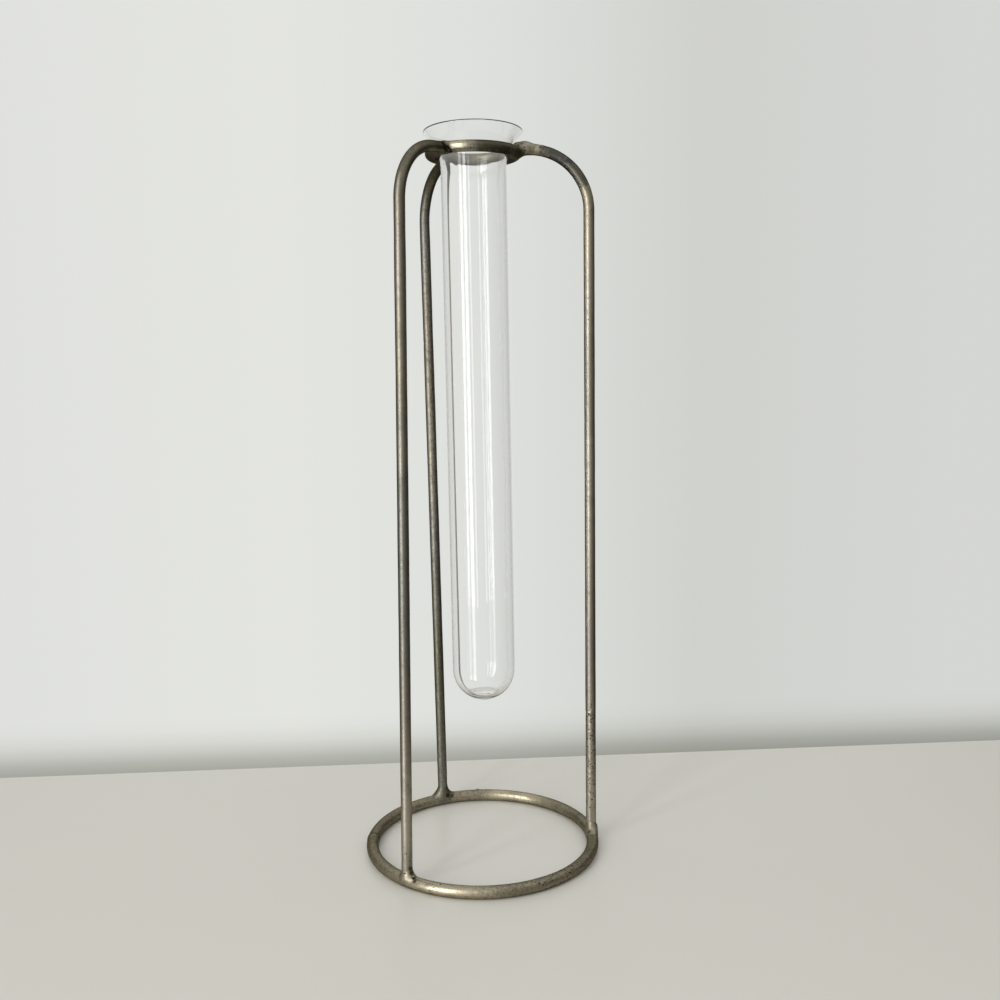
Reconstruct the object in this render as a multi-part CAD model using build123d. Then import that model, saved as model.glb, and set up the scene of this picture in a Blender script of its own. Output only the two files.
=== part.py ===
"""Test tube vase: a glass tube hangs by its flared lip in a brazed wire stand.

Lengths are in millimetres and angles in degrees. The origin is the centre of
the base ring on the surface that the stand rests on. +Z is up, -Y is the front
and +X is the right-hand side.
"""
from build123d import *
import math
import os

# Base ring: a round wire bent to a circle, with a narrow flat worn on its underside
base_wire = 3.9
base_mid_radius = 36.0
rest_flat_depth = 0.1
base_butt_gap = 0.6
base_butt_angle = 178.0
base_weld_length = 2.6
base_weld_proud = 0.15

# Collar: a smaller ring that holds the tube under its lip
collar_wire = 3.5
collar_height = 220.3
collar_shift_x = -0.4
collar_shift_y = 1.3
collar_butt_gap = 0.5
neck_clearance = 1.25

# Legs: three wires that rise from the base ring and bend inward to the collar
leg_wire = 3.4
bend_radius = 17.4

# Where each leg stands and ends. The legs are bent by hand, so none stands quite true:
# lean_x_share and lean_y_share: the corner's lean from the foot, of the base ring's mid radius
# corner_rise_share and joint_rise_share: heights over the collar's mid height, of the leg wire
# joint_reach_share: how far outside the collar's mid line the leg stops, of the collar wire
# bend_share: the bend's radius, of the nominal one
# foot_braze_shares and collar_braze_shares: how far the braze runs out and climbs, of the sizes below
legs = {
    "front_left": {
        "foot_angle": 230.1,
        "collar_angle": 231.4,
        "lean_x_share": 0.058,
        "lean_y_share": 0.001,
        "corner_rise_share": -0.60,
        "joint_rise_share": 0.0,
        "joint_reach_share": 0.0,
        "bend_share": 0.97,
        "foot_braze_shares": (1.0, 0.95),
        "collar_braze_shares": (0.85, 0.85),
    },
    "back_left": {
        "foot_angle": 113.1,
        "collar_angle": 118.2,
        "lean_x_share": -0.089,
        "lean_y_share": 0.014,
        "corner_rise_share": 0.38,
        "joint_rise_share": 0.0,
        "joint_reach_share": 0.0,
        "bend_share": 1.0,
        "foot_braze_shares": (1.2, 1.15),
        "collar_braze_shares": (1.0, 1.0),
    },
    "right": {
        "foot_angle": 3.7,
        "collar_angle": -3.6,
        "lean_x_share": -0.035,
        "lean_y_share": -0.072,
        "corner_rise_share": -0.10,
        "joint_rise_share": 0.42,
        "joint_reach_share": 0.16,
        "bend_share": 1.05,
        "foot_braze_shares": (0.9, 0.85),
        "collar_braze_shares": (1.0, 0.7),
    },
}

# Brazes: filler metal that runs out along the wires at each joint
foot_braze_spread = 3.3
foot_braze_height = 3.0
collar_braze_spread = 3.0
collar_braze_reach = 2.6
braze_edge = 0.06
# Outline of a braze between its foot and its top: share of the climb, share of the spread left
braze_curve_shares = ((0.0, 1.0), (0.45, 0.32), (1.0, 0.0))
# Half width of a braze across the ring that it lies on, as a share of that ring's wire
foot_braze_width_share = 0.49
collar_braze_width_share = 0.56

# Test tube: round-bottomed, of even wall, with a trumpet-shaped lip and a rounded rim
tube_diameter = 20.0
tube_wall = 1.1
tube_length = 178.3
flare_radius = 15.0
lip_overhang = 5.15
seat_clearance = 0.3
tube_lean = 0.5

# Sizes that follow from the ones above
base_mid_height = base_wire / 2 - rest_flat_depth
collar_mid_radius = tube_diameter / 2 + neck_clearance + collar_wire / 2
collar_centre = Vector(collar_shift_x, collar_shift_y, collar_height)


def direction(angle):
    """The level direction at an angle from +X."""
    turn = math.radians(angle)
    return Vector(math.cos(turn), math.sin(turn), 0)


def polar(centre, radius, angle, height=0):
    """A point at a radius and an angle around a centre, raised by a height."""
    return centre + direction(angle) * radius + Vector(0, 0, height)


def ring_arc(centre, mid_radius, wire, middle_angle, arc):
    """A round wire bent to an arc of a level circle, centred on an angle."""
    start_angle = middle_angle - arc / 2
    start_plane = Plane(origin=centre, x_dir=direction(start_angle), z_dir=-direction(start_angle + 90))
    section = start_plane * Pos(mid_radius, 0) * Circle(wire / 2)
    return revolve(section, Axis(centre, (0, 0, 1)), revolution_arc=arc)


def gap_angle(gap, mid_radius):
    """The angle that a gap takes on a circle."""
    return math.degrees(gap / mid_radius)


def above_surface(shape):
    """What of a shape lies above the surface that the stand rests on."""
    side = 4 * (base_mid_radius + base_wire)
    return shape & Pos(0, 0, side / 2) * Box(side, side, side)


def leg_points(name):
    """The foot, the corner and the end of a leg's mid line."""
    leg = legs[name]
    foot = polar(Vector(0, 0, base_mid_height), base_mid_radius, leg["foot_angle"])
    lean_x = leg["lean_x_share"] * base_mid_radius
    lean_y = leg["lean_y_share"] * base_mid_radius
    corner_height = collar_height + leg["corner_rise_share"] * leg_wire
    corner = Vector(foot.X + lean_x, foot.Y + lean_y, corner_height)
    reach = collar_mid_radius + leg["joint_reach_share"] * collar_wire
    end = polar(collar_centre, reach, leg["collar_angle"], leg["joint_rise_share"] * leg_wire)
    return foot, corner, end


def collar_braze_climb(name):
    """How far a collar braze reaches along its leg from the leg's end."""
    return collar_wire / 2 + collar_braze_reach * legs[name]["collar_braze_shares"][1]


def leg_path(name):
    """A leg's mid line: straight up, round the bend and in, with a straight end for the braze."""
    foot, corner, end = leg_points(name)
    bend_run = (end - corner).length - collar_braze_climb(name)
    half_turn = math.radians((foot - corner).get_angle(end - corner) / 2)
    radius = min(legs[name]["bend_share"] * bend_radius, bend_run * math.tan(half_turn))
    return FilletPolyline(foot, corner, end, radius=radius)


def base_ring_full():
    """The base ring as if it had no butt joint, for cutting what stands on it."""
    return Pos(0, 0, base_mid_height) * Torus(base_mid_radius, base_wire / 2)


def collar_ring_full():
    """The collar as if it had no butt joint, for cutting what meets it."""
    return Pos(*collar_centre) * Torus(collar_mid_radius, collar_wire / 2)


def make_base_ring():
    """The base ring, open by its butt gap, with its rest flat."""
    arc = 360 - gap_angle(base_butt_gap, base_mid_radius)
    centre = Vector(0, 0, base_mid_height)
    return above_surface(ring_arc(centre, base_mid_radius, base_wire, base_butt_angle + 180, arc))


def make_base_ring_weld(ring):
    """The weld that closes the base ring's butt gap and stands a little proud of the wire."""
    centre = Vector(0, 0, base_mid_height)
    arc = gap_angle(base_weld_length, base_mid_radius)
    bead = ring_arc(centre, base_mid_radius, base_wire + 2 * base_weld_proud, base_butt_angle, arc)
    return above_surface(bead) - ring


def make_collar_ring():
    """The collar, open by its butt gap where the front left leg meets it."""
    arc = 360 - gap_angle(collar_butt_gap, collar_mid_radius)
    angle = legs["front_left"]["collar_angle"] + 180
    return ring_arc(collar_centre, collar_mid_radius, collar_wire, angle, arc)


def make_leg(name):
    """A leg, its two ends coped to the rings that they are brazed to."""
    path = leg_path(name)
    section = Plane(origin=path @ 0, z_dir=path % 0) * Circle(leg_wire / 2)
    return sweep(section, path=path) - base_ring_full() - collar_ring_full()


def braze_body(path, at_end, across, spread, width, climb):
    """Filler metal that narrows from a ring's wire to a leg's, along the leg's mid line."""
    leg_radius = leg_wire / 2 + braze_edge
    sections = []
    for climb_share, spread_share in braze_curve_shares:
        place = climb * climb_share
        if at_end:
            place = path.length - place
        point = path.position_at(place, PositionMode.LENGTH)
        plane = Plane(origin=point, x_dir=across, z_dir=path.tangent_at(place, PositionMode.LENGTH))
        half_length = leg_radius + (spread - leg_radius) * spread_share
        half_width = leg_radius + (width - leg_radius) * spread_share
        sections.append(plane * Ellipse(half_length, half_width))
    return loft(sections)


def make_foot_braze(name, ring, leg):
    """The braze between a leg's foot and the base ring."""
    spread_share, climb_share = legs[name]["foot_braze_shares"]
    spread = foot_braze_spread * spread_share
    width = foot_braze_width_share * base_wire
    climb = base_wire / 2 + foot_braze_height * climb_share
    across = direction(legs[name]["foot_angle"] + 90)
    body = braze_body(leg_path(name), False, across, spread, width, climb)
    return body - ring - leg


def make_collar_braze(name, ring, leg):
    """The braze between a leg's top end and the collar."""
    spread_share = legs[name]["collar_braze_shares"][0]
    spread = collar_braze_spread * spread_share
    width = collar_braze_width_share * collar_wire
    collar_angle = legs[name]["collar_angle"]
    across = direction(collar_angle + 90)
    body = braze_body(leg_path(name), True, across, spread, width, collar_braze_climb(name))
    if name == "front_left":
        plug_arc = gap_angle(collar_butt_gap, collar_mid_radius)
        body = body + ring_arc(collar_centre, collar_mid_radius, collar_wire, collar_angle, plug_arc)
    return body - ring - leg


def tube_frame():
    """The tube's own frame: its axis passes the collar's centre and leans a little."""
    lean = math.radians(tube_lean)
    upward = Vector(-math.sin(lean), 0, math.cos(lean))
    return Plane(origin=collar_centre, x_dir=(math.cos(lean), 0, math.sin(lean)), z_dir=upward)


def tube_levels():
    """Heights of the tube's bottom, flare and rim over the collar's mid plane, and the flare's turn."""
    seat_reach = flare_radius - collar_wire / 2
    flare_start = -math.sqrt((seat_reach - seat_clearance) ** 2 - (seat_reach - neck_clearance) ** 2)
    rim_radius = flare_radius + tube_wall / 2
    flare_turn = math.acos((rim_radius - lip_overhang) / rim_radius)
    rim_middle = flare_start + rim_radius * math.sin(flare_turn)
    bottom = rim_middle + tube_wall / 2 - tube_length
    return bottom, flare_start, flare_turn


def make_test_tube():
    """The glass tube, turned from one closed outline of even wall."""
    bottom, flare_start, flare_turn = tube_levels()
    radius = tube_diameter / 2
    bore = radius - tube_wall
    round_centre = bottom + radius
    flare_centre = radius + flare_radius

    def flare_point(arc_radius, turn):
        return (flare_centre - arc_radius * math.cos(turn), flare_start + arc_radius * math.sin(turn))

    def round_point(arc_radius, turn):
        return (arc_radius * math.cos(turn), round_centre - arc_radius * math.sin(turn))

    outer, inner = flare_radius, flare_radius + tube_wall
    rim_middle = flare_point((outer + inner) / 2, flare_turn)
    rim_tip = (
        rim_middle[0] + math.sin(flare_turn) * tube_wall / 2,
        rim_middle[1] + math.cos(flare_turn) * tube_wall / 2,
    )
    quarter = math.pi / 2
    outline = [
        ThreePointArc(round_point(radius, quarter), round_point(radius, quarter / 2), round_point(radius, 0)),
        Line(round_point(radius, 0), flare_point(outer, 0)),
        ThreePointArc(flare_point(outer, 0), flare_point(outer, flare_turn / 2), flare_point(outer, flare_turn)),
        ThreePointArc(flare_point(outer, flare_turn), rim_tip, flare_point(inner, flare_turn)),
        ThreePointArc(flare_point(inner, flare_turn), flare_point(inner, flare_turn / 2), flare_point(inner, 0)),
        Line(flare_point(inner, 0), round_point(bore, 0)),
        ThreePointArc(round_point(bore, 0), round_point(bore, quarter / 2), round_point(bore, quarter)),
        Line(round_point(bore, quarter), round_point(radius, quarter)),
    ]
    face = make_face(Plane.XZ * Curve(children=outline))
    return tube_frame().location * revolve(face, Axis.Z)


def save(name, shape):
    """Write one piece to its own file."""
    export_step(shape, f"parts/{name}.step")


os.makedirs("parts", exist_ok=True)

base_ring = make_base_ring()
collar_ring = make_collar_ring()
save("base_ring", base_ring)
save("base_ring_weld", make_base_ring_weld(base_ring))
save("collar_ring", collar_ring)
for leg_name in legs:
    leg = make_leg(leg_name)
    save(f"leg_{leg_name}", leg)
    save(f"foot_braze_{leg_name}", make_foot_braze(leg_name, base_ring_full(), leg))
    save(f"collar_braze_{leg_name}", make_collar_braze(leg_name, collar_ring, leg))
save("test_tube", make_test_tube())
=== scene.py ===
"""Test tube vase: the looks of its glass tube, its aged wire stand and its brazed joints.

The shapes are worked out in millimetres, with the origin at the base ring's centre
on the surface that the stand rests on, and become metres when a mesh is made.
"""

import math

import bpy
import numpy as np
from mathutils import Matrix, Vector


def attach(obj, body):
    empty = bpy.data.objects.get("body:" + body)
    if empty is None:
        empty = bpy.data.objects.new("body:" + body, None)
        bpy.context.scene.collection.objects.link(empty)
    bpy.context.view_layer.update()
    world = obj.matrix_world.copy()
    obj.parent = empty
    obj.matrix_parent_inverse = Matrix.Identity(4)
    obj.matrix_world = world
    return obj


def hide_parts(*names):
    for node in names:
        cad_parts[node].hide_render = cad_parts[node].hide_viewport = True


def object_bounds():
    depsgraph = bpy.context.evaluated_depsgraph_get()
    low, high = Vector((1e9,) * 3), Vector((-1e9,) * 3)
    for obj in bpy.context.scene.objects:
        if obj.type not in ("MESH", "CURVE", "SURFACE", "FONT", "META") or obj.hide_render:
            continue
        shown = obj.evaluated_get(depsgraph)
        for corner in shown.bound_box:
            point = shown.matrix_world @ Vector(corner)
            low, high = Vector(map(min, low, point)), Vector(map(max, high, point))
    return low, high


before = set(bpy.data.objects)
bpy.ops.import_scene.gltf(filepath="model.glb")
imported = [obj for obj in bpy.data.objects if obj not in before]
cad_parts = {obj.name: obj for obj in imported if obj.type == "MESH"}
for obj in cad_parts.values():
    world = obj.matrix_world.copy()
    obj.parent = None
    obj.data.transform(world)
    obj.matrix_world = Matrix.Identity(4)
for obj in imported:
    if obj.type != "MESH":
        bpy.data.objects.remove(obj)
cad_low, cad_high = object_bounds()

MM = 0.001
UP = np.array([0.0, 0.0, 1.0])

# Wires of the stand
BASE_WIRE = 3.9
BASE_MID_RADIUS = 36.0
BASE_MID_HEIGHT = 1.85
BASE_BUTT_ANGLE = 178.0
BASE_BUTT_GAP = 0.3
WELD_LENGTH = 2.6
WELD_PROUD = 0.15
COLLAR_WIRE = 3.5
COLLAR_MID_RADIUS = 13.0
COLLAR_CENTRE = np.array([-0.4, 1.3, 220.3])
COLLAR_GAP = 0.7
COLLAR_LEG_SHORT = 0.8
LEG_WIRE = 3.4
BEND_RADIUS = 17.4
END_ROUNDING_SHARE = 0.35

# Each leg: angle of its foot and of its end, the corner's lean from the foot in x and y,
# the corner's and the end's height over the collar, how far outside the collar's
# mid line it ends, and its bend's radius as a share of the nominal one
LEGS = {
    "front_left": dict(foot=230.1, end=231.4, lean=(2.088, 0.036), rise=-2.04,
                       end_rise=0.0, reach=0.0, bend=0.97),
    "back_left": dict(foot=113.1, end=118.2, lean=(-3.204, 0.504), rise=1.292,
                      end_rise=0.0, reach=0.0, bend=1.0),
    "right": dict(foot=3.7, end=-3.6, lean=(-1.26, -2.592), rise=-0.34,
                  end_rise=1.428, reach=0.56, bend=1.05),
}

# Glass tube, with heights from the collar's mid plane. Its bottom is a little squarer
# inside than a ball, by the power BOTTOM_SQUARE, and rises to a low dome. The rim dips
# towards the back by RIM_DIP for each millimetre.
TUBE_RADIUS = 10.0
TUBE_WALL = 1.1
TUBE_DROP = 171.006
BOTTOM_WALL = 1.25
BOTTOM_SQUARE = 2.05
BOTTOM_DOME = 1.0
BOTTOM_DOME_RADIUS = 4.7
RIM_WALL = 0.55
RIM_DIP = 0.040
FLARE_RADIUS = 14.0
FLARE_START = -4.669
LIP_OVERHANG = 5.15
TUBE_LEAN = 0.5
TUBE_WAVE, TUBE_WAVE_SIZE, TUBE_WAVE_STRETCH, TUBE_WAVE_SEED = 0.003, 7.0, 0.05, 5

# Unevenness of the wires' skin: rise and size of each wave, then the fine grain and the pits.
# A pitted zone starts at its reach and is full within the share PITTED_FULL of it.
SKIN_WAVES = [(0.030, 13.0), (0.016, 4.5)]
SKIN_DROP = 0.03
GRAIN_RISE, GRAIN_SIZE = 0.005, 1.5
WORN_GRAIN_RISE = 0.02
RING_GRAIN_RISE = 0.016
PIT_DEPTH, PIT_SIZE, PIT_CLUSTER_SIZE, PIT_CLUSTER_SHARE = 0.07, 0.95, 5.0, 0.4
PIT_START, PIT_FULL, PIT_GAIN = 1.35, 1.75, 1.2
PITTED_FULL = 0.5

# Filler metal: the grid around each joint in spreads and a margin, where the fillet changes
# from one side's to the other's and where it starts and is full up the leg, how the skin
# fades into the wires, and its unevenness as rise and size
GRID_SPREADS, GRID_MARGIN = 1.9, 1.0
FILLET_TURN, FILLET_START, FILLET_FULL = 1.5, -0.8, 1.6
LEAST_FILLET = 0.25
FADE_START, FADE_POWER = 0.7, 1.3
FADE_WAVES = [(0.08, 2.4), (0.03, 1.1)]
FILLER_WAVES = [(0.05, 1.6), (0.02, 0.8)]
CRACK_EDGE = 0.25
TABLE_CLEARANCE = 0.05
FOOT_LINE_LENGTH, COLLAR_LINE_LENGTH = 14, 16

# Mesh fineness
WIRE_STEP = 0.35
COLLAR_STEP = 0.25
WELD_STEP = 0.2
LINE_STEP = 1.0
WIRE_SIDES = 52
BRAZE_STEP = 0.2
TUBE_SIDES = 192
BOTTOM_STEPS, WALL_STEPS, FLARE_STEPS, RIM_STEPS = 40, 90, 20, 18

# Primes, shifts and word sizes that the noise mixes its numbers with
CELL_PRIMES = (73856093, 19349663, 83492791)
SEED_PRIME = 2654435761
MIX_STEPS = [(15, 2246822519), (13, 3266489917)]
LAST_SHIFT = 16
WORD, HALF_WORD = 0xFFFFFFFF, 0xFFFF


def unit(vector):
    """The vector at length one."""
    return vector / np.linalg.norm(vector)


def level(angle):
    """The level direction at an angle in degrees from +X."""
    turn = math.radians(angle)
    return np.array([math.cos(turn), math.sin(turn), 0.0])


def smooth(value, low, high):
    """0 below low, 1 above high and a smooth step between them."""
    share = np.clip((value - low) / (high - low), 0, 1)
    return share * share * (3 - 2 * share)


def lattice(cells, seed):
    """A repeatable number from -1 to 1 for each whole-numbered cell."""
    one, two, three = (cells[..., axis] * prime for axis, prime in enumerate(CELL_PRIMES))
    mixed = (one ^ two ^ three ^ (seed * SEED_PRIME)) & WORD
    for shift, prime in MIX_STEPS:
        mixed = ((mixed ^ (mixed >> shift)) * prime) & WORD
    return ((mixed ^ (mixed >> LAST_SHIFT)) & HALF_WORD) / (HALF_WORD / 2) - 1


def rough(points, size, seed):
    """Smooth noise from about -1 to 1, with features of about that size."""
    scaled = points / size
    whole = np.floor(scaled).astype(np.int64)
    part = scaled - whole
    # Each cell's value fades smoothly into the next, with no kink at the cell's sides
    part = part * part * part * (part * (part * 6 - 15) + 10)
    total = 0
    for corner in np.ndindex(2, 2, 2):
        weight = 1
        for axis in range(3):
            weight = weight * (part[..., axis] if corner[axis] else 1 - part[..., axis])
        total = total + weight * lattice(whole + np.array(corner), seed)
    return total


def new_piece(name, points, faces, body, node, finish):
    """A mesh piece from points in millimetres that stands for a CAD node."""
    low, high = np.array(cad_low) / MM, np.array(cad_high) / MM
    mesh = bpy.data.meshes.new(name)
    mesh.from_pydata((np.clip(points, low, high) * MM).tolist(), [], faces)
    mesh.validate()
    mesh.shade_smooth()
    piece = bpy.data.objects.new(name, mesh)
    bpy.context.scene.collection.objects.link(piece)
    mesh.materials.append(finish)
    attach(piece, body)
    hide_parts(node)
    return piece


def leg_corners(name):
    """A leg's foot, corner and end on its mid line."""
    leg = LEGS[name]
    foot = BASE_MID_RADIUS * level(leg["foot"]) + BASE_MID_HEIGHT * UP
    corner = foot + np.array([*leg["lean"], 0.0])
    corner[2] = COLLAR_CENTRE[2] + leg["rise"]
    end = COLLAR_CENTRE + (COLLAR_MID_RADIUS + leg["reach"]) * level(leg["end"]) + leg["end_rise"] * UP
    return foot, corner, end


def leg_line(name, step, stop_short=0.0):
    """Evenly spaced points along a leg's mid line, and its direction at each."""
    foot, corner, end = leg_corners(name)
    down, inward = unit(foot - corner), unit(end - corner)
    end = end - stop_short * inward
    radius = LEGS[name]["bend"] * BEND_RADIUS
    half = math.acos(down @ inward) / 2
    cut = radius / math.tan(half)
    start, stop = corner + cut * down, corner + cut * inward
    centre = corner + radius / math.sin(half) * unit(down + inward)
    spoke = (start - centre) / radius
    rise, turn = np.linalg.norm(foot - start), math.pi - 2 * half
    total = rise + radius * turn + np.linalg.norm(end - stop)
    lengths = np.linspace(0, total, round(total / step) + 1)[:, None]
    angles = np.clip((lengths - rise) / radius, 0, turn)
    round_part = centre + radius * (np.cos(angles) * spoke - np.sin(angles) * down)
    points = round_part + np.clip(rise - lengths, 0, None) * down
    points = points + np.clip(lengths - rise - radius * turn, 0, None) * inward
    heading = -np.cos(angles) * down - np.sin(angles) * spoke
    return points, heading


def ring_line(centre, radius, gap_angle, gap, step):
    """Points along a level circle that is open at an angle by a gap, and its direction at each."""
    arc = 2 * math.pi - gap / radius
    start = math.radians(gap_angle) + gap / radius / 2
    angles = start + np.linspace(0, arc, round(radius * arc / step) + 1)
    spokes = np.stack([np.cos(angles), np.sin(angles), 0 * angles], 1)
    heading = np.stack([-np.sin(angles), np.cos(angles), 0 * angles], 1)
    return centre + radius * spokes, heading


def wire_surface(points, heading, side, wire, relief):
    """A round wire's surface along a line, with rounded ends, a relief and a map of it."""
    side = side - (side * heading).sum(1, keepdims=True) * heading
    side = side / np.linalg.norm(side, axis=1, keepdims=True)
    over = np.cross(heading, side)
    along = np.concatenate([[0], np.cumsum(np.linalg.norm(np.diff(points, axis=0), axis=1))])
    ends = np.minimum(along, along[-1] - along)
    edge = END_ROUNDING_SHARE * wire / 2
    taper = np.sqrt(np.clip(1 - (1 - np.clip(ends / edge, 0, 1)) ** 2, 0, 1))
    radius = wire / 2 - edge + edge * taper
    turns = np.linspace(0, 2 * math.pi, WIRE_SIDES, endpoint=False)[None, :, None]
    outward = np.cos(turns) * side[:, None] + np.sin(turns) * over[:, None]
    full_skin = points[:, None] + wire / 2 * outward
    skin = points[:, None] + (radius[:, None] + relief(full_skin))[..., None] * outward
    return skin.reshape(-1, 3), *wire_faces(along, WIRE_SIDES)


def wire_faces(along, sides):
    """The faces of rings of points with closed ends, and each face corner's place on the map."""
    rings = len(along)
    faces, corners = [], []
    for ring in range(rings - 1):
        for turn in range(sides):
            after = (turn + 1) % sides
            faces.append((
                ring * sides + turn, ring * sides + after,
                (ring + 1) * sides + after, (ring + 1) * sides + turn,
            ))
            corners.append(((ring, turn), (ring, turn + 1), (ring + 1, turn + 1), (ring + 1, turn)))
    faces.append(tuple(range(sides))[::-1])
    faces.append(tuple((rings - 1) * sides + turn for turn in range(sides)))
    places = [(turn / sides, along[ring]) for face in corners for ring, turn in face]
    places += [(turn / sides, along[0]) for turn in range(sides)][::-1]
    places += [(turn / sides, along[-1]) for turn in range(sides)]
    return faces, places


def make_relief(seed, pitted=(), lumps=(), grooves=(), grain=GRAIN_RISE):
    """The unevenness of a wire's skin, by where it is pitted, lumps, grooves and fine grain."""
    def relief(skin):
        height = sum(rise * rough(skin, size, seed + n) for n, (rise, size) in enumerate(SKIN_WAVES))
        height = height + grain * rough(skin, GRAIN_SIZE, seed + 2) - SKIN_DROP
        share = 0.0
        for centre, reach, density in pitted:
            distance = np.linalg.norm(skin - np.array(centre), axis=-1)
            share = np.maximum(share, density * (1 - smooth(distance, PITTED_FULL * reach, reach)))
        clusters = rough(skin, PIT_CLUSTER_SIZE, seed + 4)
        pits = rough(skin, PIT_SIZE, seed + 3) - PIT_CLUSTER_SHARE * clusters
        pits = smooth(pits, PIT_START - PIT_GAIN * share, PIT_FULL - PIT_GAIN * share)
        height = height - PIT_DEPTH * pits
        for centre, reach, rise in lumps:
            distance = np.linalg.norm(skin - np.array(centre), axis=-1)
            height = height + rise * np.exp(-(distance / reach) ** 2)
        for start, stop, size, depth in grooves:
            distance = distance_to_line(skin, np.array([start, stop]))
            height = height - depth * np.exp(-(distance / size) ** 4)
        return height

    return relief


def wire_piece(name, node, line, side, wire, relief, finish):
    """One wire of the stand as a piece with its map of turns around and millimetres along."""
    points, faces, places = wire_surface(*line, side, wire, relief)
    piece = new_piece(name, points, faces, "stand", node, finish)
    layer = piece.data.uv_layers.new(name="wire")
    layer.uv.foreach_set("vector", np.array(places, dtype=np.float32).ravel())


def distance_to_line(grid, points):
    """Distance from each point of a grid to a line of points."""
    best = np.full(grid.shape[:-1], np.inf)
    for start, stop in zip(points[:-1], points[1:]):
        run = stop - start
        share = np.clip(((grid - start) @ run) / (run @ run), 0, 1)
        best = np.minimum(best, np.linalg.norm(grid - start - share[..., None] * run, axis=-1))
    return best


def distance_to_ring(grid, centre, radius):
    """Distance from each point of a grid to a level circle."""
    place = grid - centre
    return np.hypot(np.hypot(place[..., 0], place[..., 1]) - radius, place[..., 2])


# A field's value at the sides of its grid, where it has to be outside
OUTSIDE = 1.0


def surface_of(field, origin, step):
    """The closed surface where a field on a grid changes sign, with one point per cell."""
    inside = field < 0
    size = np.array(field.shape) - 1
    total, count = np.zeros((*size, 3)), np.zeros(tuple(size))
    axes = np.eye(3, dtype=int)
    # A cell's point is the mean of the places where the surface cuts its twelve edges
    for axis in range(3):
        others = [a for a in range(3) if a != axis]
        for first in (0, 1):
            for second in (0, 1):
                low = [slice(0, s) for s in size]
                for a, shift in zip(others, (first, second)):
                    low[a] = slice(shift, size[a] + shift)
                high = list(low)
                high[axis] = slice(1, size[axis] + 1)
                near, far = field[tuple(low)], field[tuple(high)]
                cut = (near < 0) != (far < 0)
                share = np.where(cut, near / np.where(cut, near - far, 1), 0)
                place = np.zeros((*size, 3))
                place[..., axis] = share
                place[..., others[0]] = first
                place[..., others[1]] = second
                total += place * cut[..., None]
                count += cut
    active = count > 0
    number = np.full(tuple(size), -1)
    number[active] = np.arange(active.sum())
    cells = np.argwhere(active)
    points = origin + step * (cells + total[active] / count[active][:, None])
    # A face joins the points of the four cells round each edge that the surface cuts
    faces = []
    for axis in range(3):
        one, two = axes[(axis + 1) % 3], axes[(axis + 2) % 3]
        low = [slice(1, s) for s in size]
        low[axis] = slice(0, size[axis])
        high = list(low)
        high[axis] = slice(1, size[axis] + 1)
        start, stop = inside[tuple(low)], inside[tuple(high)]
        shift = np.array([1, 1, 1]) - axes[axis]
        for flip in (False, True):
            where = np.argwhere((start != stop) & (start == flip)) + shift
            quad = [number[tuple((where - back).T)] for back in (0 * one, one, one + two, two)]
            if flip:
                quad = quad[::-1]
            faces.append(np.stack(quad, 1))
    return points, np.concatenate(faces)[:, ::-1].tolist()


def blended(one, two, width):
    """The smaller of two fields, with a fillet of about that width between them."""
    near = np.clip(width - np.abs(one - two), 0, None) / width
    return np.minimum(one, two) - near * near * width / 4


def braze_piece(name, node, joint, away, line, ring, form, finish):
    """Filler on a leg and a ring, which fills their corner on the leg's side, where away points."""
    tangent = unit(np.cross(UP, ring["spoke"]))
    across = unit(np.cross(away, tangent))
    reach = GRID_SPREADS * max(form["spread"]) + GRID_MARGIN
    count = int(2 * reach / BRAZE_STEP)
    origin = joint - reach
    grid = origin + BRAZE_STEP * np.stack(np.meshgrid(*[np.arange(count + 1)] * 3, indexing="ij"), -1)
    place = grid - joint
    run = place @ tangent
    leg = distance_to_line(grid, line) - LEG_WIRE / 2
    ring_skin = distance_to_ring(grid, ring["centre"], ring["radius"]) - ring["wire"] / 2
    left, right = form["fillet"]
    fillet = left + (right - left) * smooth(run, -FILLET_TURN, FILLET_TURN)
    fillet = LEAST_FILLET + (fillet - LEAST_FILLET) * smooth(place @ away, FILLET_START, FILLET_FULL)
    body = blended(leg, ring_skin, fillet)
    side = np.where(run < 0, form["spread"][0], form["spread"][1])
    fade = np.sqrt((run / side) ** 2 + (place @ away / form["climb"]) ** 2
                   + (place @ across / form["width"]) ** 2)
    seed = form["seed"]
    for n, (rise, size) in enumerate(FADE_WAVES):
        fade = fade + rise * rough(grid, size, seed + n)
    field = body + (FADE_POWER * np.clip(fade - FADE_START, 0, None) ** 2 - form["proud"])
    for n, (rise, size) in enumerate(FILLER_WAVES, 2):
        field = field + rise * rough(grid, size, seed + n)
    for centre, size, blend in form["lumps"]:
        bump = np.linalg.norm(place - np.array(centre), axis=-1) - size
        field = blended(field, bump, blend)
    for crack, size in form["cracks"]:
        groove = distance_to_line(grid, np.array(crack) + joint) - size
        field = -blended(-field, groove, CRACK_EDGE)
    if ring["centre"][2] < LEG_WIRE:
        field = np.maximum(field, TABLE_CLEARANCE - grid[..., 2])
    field[[0, -1]] = field[:, [0, -1]] = field[:, :, [0, -1]] = OUTSIDE
    points, faces = surface_of(field, origin, BRAZE_STEP)
    new_piece(name, points, faces, "stand", node, finish)


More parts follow.
